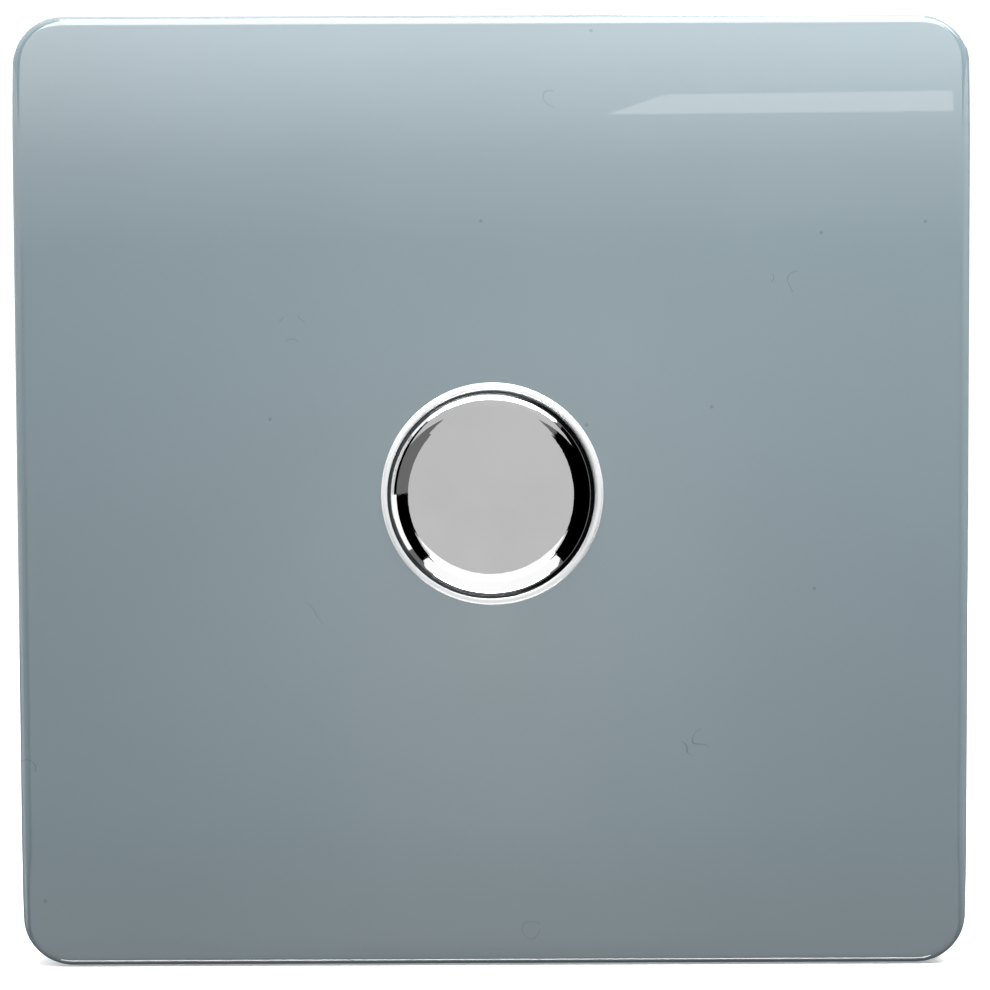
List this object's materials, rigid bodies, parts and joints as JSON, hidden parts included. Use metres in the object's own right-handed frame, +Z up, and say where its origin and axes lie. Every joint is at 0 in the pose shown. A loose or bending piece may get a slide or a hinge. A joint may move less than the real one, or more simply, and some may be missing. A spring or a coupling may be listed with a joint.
{
  "type": "rotary dimmer switch",
  "caption": "Square wall dimmer switch with a push-and-turn knob in a gloss cover plate, on a steel yoke with a case of electronics behind.",
  "frame": {"origin": "on the knob's axis, in the plane of the wall that the cover plate lies on", "axes": "+Y into the wall, front facing -Y, +X to the right seen from the front, +Z up"},
  "size_m": [0.087, 0.0413, 0.087],
  "materials": {
    "cover_gloss": "high gloss moulded cool grey",
    "bright_chrome": "mirror plating",
    "zinc_steel": "zinc-plated pressed steel",
    "screw_steel": "bright zinc-plated",
    "brass": "bright turned",
    "case_plastic": "fine moulded texture",
    "switch_plastic": "moulded",
    "phenolic": "laminated sheet",
    "nylon": "moulded",
    "tinned_copper": "tinned",
    "spring_bronze": "pressed strip",
    "spring_steel": "tempered",
    "glass_fibre": "lacquered laminate",
    "aluminium": "plain sheet",
    "black_epoxy": "moulded",
    "iron_powder": "lacquered pressed powder",
    "copper_wire": "enamelled wire",
    "yellow_plastic": "moulded box",
    "can_sleeve": "shrunk sleeve"
  },
  "bodies": {
    "fixed": {"front_plate": "cover_gloss", "bezel_ring": "bright_chrome", "mounting_yoke": "zinc_steel", "fixing_screws": "screw_steel", "earth_tab": "brass", "earth_rivet": "brass", "earth_screw": "screw_steel", "control_bush": "brass", "lock_washer": "screw_steel", "bush_nut": "brass", "module_case": "case_plastic", "module_cover": "case_plastic", "case_screws": "screw_steel", "cover_screws": "screw_steel", "potentiometer_case": "zinc_steel", "track_disc": "phenolic", "track_pins": "tinned_copper", "switch_case": "switch_plastic", "fixed_contacts": "spring_bronze", "return_spring": "spring_steel", "circuit_board": "glass_fibre", "heat_sink": "aluminium", "power_transistors": "black_epoxy", "choke_core": "iron_powder", "choke_winding": "copper_wire", "film_capacitor": "yellow_plastic", "smoothing_capacitor": "can_sleeve", "fuse_link": "black_epoxy", "control_chip": "black_epoxy", "terminal_cages": "brass", "terminal_screws": "screw_steel"},
    "push_carrier": {"plunger": "nylon", "moving_contact": "spring_bronze"},
    "control": {"spindle": "brass", "knob": "bright_chrome", "knob_clip": "spring_steel"},
    "rotor": {"wiper_rotor": "nylon", "wiper_contact": "spring_bronze"}
  },
  "joints": [
    {"name": "push", "type": "slide", "parent": "fixed", "child": "push_carrier", "axis": [0, 1, 0], "range_m": [0, 0.0015], "stiffness_N_per_m": 400, "springref_m": -0.004, "deforming": ["return_spring"]},
    {"name": "turn", "type": "hinge", "parent": "push_carrier", "child": "control", "pos_m": [0, 0, 0], "axis": [0, 1, 0], "range_deg": [0, 270]},
    {"name": "wiper_turn", "type": "hinge", "parent": "fixed", "child": "rotor", "pos_m": [0, 0, 0], "axis": [0, 1, 0], "range_deg": [0, 270]}
  ],
  "couplings": [
    {"joint": "wiper_turn", "follows": "turn", "ratio": 1}
  ]
}
